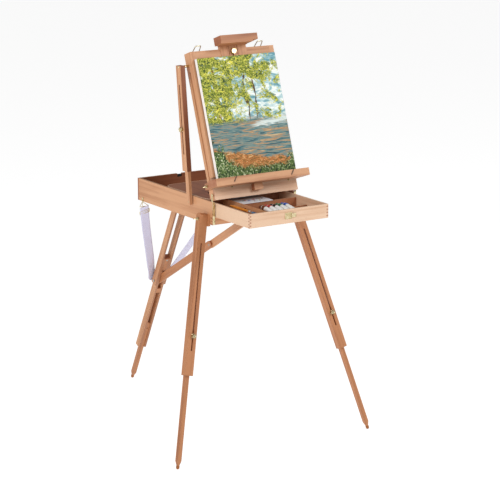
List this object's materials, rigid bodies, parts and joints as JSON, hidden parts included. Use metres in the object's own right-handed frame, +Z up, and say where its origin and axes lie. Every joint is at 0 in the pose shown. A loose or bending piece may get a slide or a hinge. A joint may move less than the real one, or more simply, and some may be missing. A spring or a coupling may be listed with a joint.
{
  "type": "wooden artist easel",
  "caption": "Field easel: a wooden sketch box with an open drawer on splayed telescoping legs, with a tilting lid that holds a canvas between a ledge and a sliding mast.",
  "frame": {"origin": "on the floor, under the middle of the whole easel's bounding box as it stands open", "axes": "+Z up; -Y is the artist's side, where the drawer opens; +X is to the artist's right"},
  "size_m": [0.884, 1.205, 1.5625],
  "materials": {
    "beech": "satin oiled",
    "plywood": "satin",
    "brass": "polished",
    "steel": "satin",
    "dark_wire": "satin",
    "webbing": "woven",
    "canvas": "matte",
    "handle_plastic": "matte",
    "foot_rubber": "matte",
    "mixing_tray": "gloss",
    "tube_foil": "satin"
  },
  "bodies": {
    "box": {"box_left_wall": "beech", "box_right_wall": "beech", "box_rear_wall": "beech", "box_front_rail": "beech", "box_floor": "plywood", "box_fillets": "beech", "palette": "plywood", "box_brass": "brass", "leg_wedges": "beech", "underside_brackets": "steel", "strap": "webbing"},
    "drawer": {"drawer_front": "beech", "drawer_sides": "beech", "drawer_bottom": "plywood", "drawer_dividers": "beech", "hasp_plate": "brass", "mixing_tray": "mixing_tray", "paint_tubes": "tube_foil", "brush": "beech"},
    "hasp": {"hasp_leaf": "brass"},
    "handle": {"carry_handle": "handle_plastic"},
    "lid": {"lid_rails": "beech", "lid_top_rail": "beech", "lid_back_panel": "plywood", "lid_lower_panel": "beech", "pull_block": "beech"},
    "mast": {"mast": "beech", "mast_head": "beech"},
    "mast_knob": {"mast_knob": "brass"},
    "latch_left": {"latch_bail_left": "brass"},
    "latch_right": {"latch_bail_right": "brass"},
    "tray": {"tray": "beech", "tray_hooks": "dark_wire"},
    "tray_nut_left": {"tray_wing_nut_left": "brass"},
    "tray_nut_right": {"tray_wing_nut_right": "brass"},
    "canvas": {"canvas": "canvas"},
    "rear_leg": {"rear_leg_rails": "beech", "rear_leg_core": "beech", "strut_bolt": "steel"},
    "inner_rear": {"inner_leg_rear": "beech", "foot_leg_rear": "foot_rubber"},
    "knob_rear": {"leg_knob_rear": "brass"},
    "strut_upper": {"strut_upper_bar": "beech"},
    "strut_lower": {"strut_lower_bar": "beech"},
    "brace_stick_left": {"brace_stick_left": "beech"},
    "brace_channel_left": {"brace_channel_left": "beech"},
    "brace_knob_left": {"brace_knob_left": "brass"},
    "leg_left": {"front_leg_left": "beech"},
    "inner_left": {"inner_leg_left": "beech", "foot_leg_left": "foot_rubber"},
    "knob_left": {"leg_knob_left": "brass"},
    "leg_screw_left": {"leg_wing_screw_left": "brass"},
    "leg_right": {"front_leg_right": "beech"},
    "inner_right": {"inner_leg_right": "beech", "foot_leg_right": "foot_rubber"},
    "knob_right": {"leg_knob_right": "brass"},
    "leg_screw_right": {"leg_wing_screw_right": "brass"}
  },
  "joints": [
    {"name": "drawer_slide", "type": "slide", "parent": "box", "child": "drawer", "axis": [0, -1, 0], "range_m": [-0.233, 0.06]},
    {"name": "hasp_swing", "type": "hinge", "parent": "drawer", "child": "hasp", "pos_m": [0.009, -0.60043, 0.9285], "axis": [0, 0, -1], "range_deg": [0, 150]},
    {"name": "handle_swing", "type": "hinge", "parent": "box", "child": "handle", "pos_m": [0, 0.20497, 0.934], "axis": [1, 0, 0], "range_deg": [0, 150]},
    {"name": "lid_tilt", "type": "hinge", "parent": "box", "child": "lid", "pos_m": [0, -0.36303, 0.984], "axis": [-1, 0, 0], "range_deg": [-12, 70.8]},
    {"name": "mast_slide", "type": "slide", "parent": "lid", "child": "mast", "axis": [0, 0.3289, 0.9444], "range_m": [-0.004, 0.15]},
    {"name": "mast_knob_turn", "type": "hinge", "parent": "lid", "child": "mast_knob", "pos_m": [0, -0.18874, 1.48452], "axis": [0, 0.9444, -0.3289], "continuous": true},
    {"name": "latch_left_swing", "type": "hinge", "parent": "lid", "child": "latch_left", "pos_m": [-0.146, -0.18042, 1.49624], "axis": [1, 0, 0], "range_deg": [-140, 26]},
    {"name": "latch_right_swing", "type": "hinge", "parent": "lid", "child": "latch_right", "pos_m": [0.129, -0.18042, 1.49624], "axis": [1, 0, 0], "range_deg": [-140, 26]},
    {"name": "tray_slide", "type": "slide", "parent": "lid", "child": "tray", "axis": [0, 0.3289, 0.9444], "range_m": [0, 0.007]},
    {"name": "canvas_forward", "type": "slide", "parent": "tray", "child": "canvas", "axis": [0, -0.9444, 0.3289], "range_m": [0, 0.019]},
    {"name": "tray_nut_left_turn", "type": "hinge", "parent": "tray", "child": "tray_nut_left", "pos_m": [-0.2, -0.34742, 1.01668], "axis": [1, 0, 0], "continuous": true},
    {"name": "tray_nut_right_turn", "type": "hinge", "parent": "tray", "child": "tray_nut_right", "pos_m": [0.2, -0.34742, 1.01668], "axis": [1, 0, 0], "continuous": true},
    {"name": "brace_left_swing", "type": "hinge", "parent": "box", "child": "brace_stick_left", "pos_m": [0, -0.21703, 0.936], "axis": [-1, 0, 0], "range_deg": [-14.67, 81.65]},
    {"name": "brace_left_slide", "type": "slide", "parent": "brace_stick_left", "child": "brace_channel_left", "axis": [-0.0401, 0.0431, 0.9983], "range_m": [-0.1646, 0.0296]},
    {"name": "brace_left_knob_turn", "type": "hinge", "parent": "brace_stick_left", "child": "brace_knob_left", "pos_m": [-0.20237, -0.20503, 1.21396], "axis": [0.9992, 0, 0.0402], "continuous": true},
    {"name": "leg_left_fold", "type": "hinge", "parent": "box", "child": "leg_left", "pos_m": [-0.21145, -0.32403, 0.88796], "axis": [0.9692, 0, -0.2463], "range_deg": [0, 101]},
    {"name": "leg_left_slide", "type": "slide", "parent": "leg_left", "child": "inner_left", "axis": [0.241, 0.2061, 0.9484], "range_m": [-0.05, 0.34]},
    {"name": "leg_left_knob_turn", "type": "hinge", "parent": "inner_left", "child": "knob_left", "pos_m": [-0.31703, -0.4143, 0.47257], "axis": [-0.0508, 0.9785, -0.1997], "continuous": true},
    {"name": "leg_left_screw_turn", "type": "hinge", "parent": "leg_left", "child": "leg_screw_left", "pos_m": [-0.21145, -0.32403, 0.88796], "axis": [0.9692, 0, -0.2463], "continuous": true},
    {"name": "leg_right_fold", "type": "hinge", "parent": "box", "child": "leg_right", "pos_m": [0.21145, -0.32403, 0.88796], "axis": [0.9692, 0, 0.2463], "range_deg": [0, 101]},
    {"name": "leg_right_slide", "type": "slide", "parent": "leg_right", "child": "inner_right", "axis": [-0.241, 0.2061, 0.9484], "range_m": [-0.05, 0.34]},
    {"name": "leg_right_knob_turn", "type": "hinge", "parent": "inner_right", "child": "knob_right", "pos_m": [0.31703, -0.4143, 0.47257], "axis": [0.0508, 0.9785, -0.1997], "continuous": true},
    {"name": "leg_right_screw_turn", "type": "hinge", "parent": "leg_right", "child": "leg_screw_right", "pos_m": [0.21145, -0.32403, 0.88796], "axis": [0.9692, 0, 0.2463], "continuous": true},
    {"name": "rear_leg_fold", "type": "hinge", "parent": "box", "child": "rear_leg", "pos_m": [0, 0.17197, 0.852], "axis": [-1, 0, 0], "range_deg": [0, 84]},
    {"name": "rear_leg_slide", "type": "slide", "parent": "rear_leg", "child": "inner_rear", "axis": [0, -0.4509, 0.8926], "range_m": [-0.046, 0.16]},
    {"name": "rear_knob_turn", "type": "hinge", "parent": "inner_rear", "child": "knob_rear", "pos_m": [0, 0.47315, 0.25575], "axis": [0, 0.8926, 0.4509], "continuous": true},
    {"name": "strut_upper_swing", "type": "hinge", "parent": "box", "child": "strut_upper", "pos_m": [0, -0.29703, 0.854], "axis": [-1, 0, 0], "range_deg": [-1, 148.96]},
    {"name": "strut_lower_swing", "type": "hinge", "parent": "rear_leg", "child": "strut_lower", "pos_m": [0, 0.35908, 0.48158], "axis": [1, 0, 0], "range_deg": [-1, 87.03]}
  ],
  "couplings": [
    {"joint": "brace_left_swing", "follows": "lid_tilt", "ratio": 1.1391},
    {"joint": "brace_left_slide", "follows": "lid_tilt", "m_per_rad": -0.13161},
    {"joint": "strut_upper_swing", "follows": "rear_leg_fold", "ratio": 1.7615},
    {"joint": "strut_lower_swing", "follows": "rear_leg_fold", "ratio": 1.0242}
  ]
}
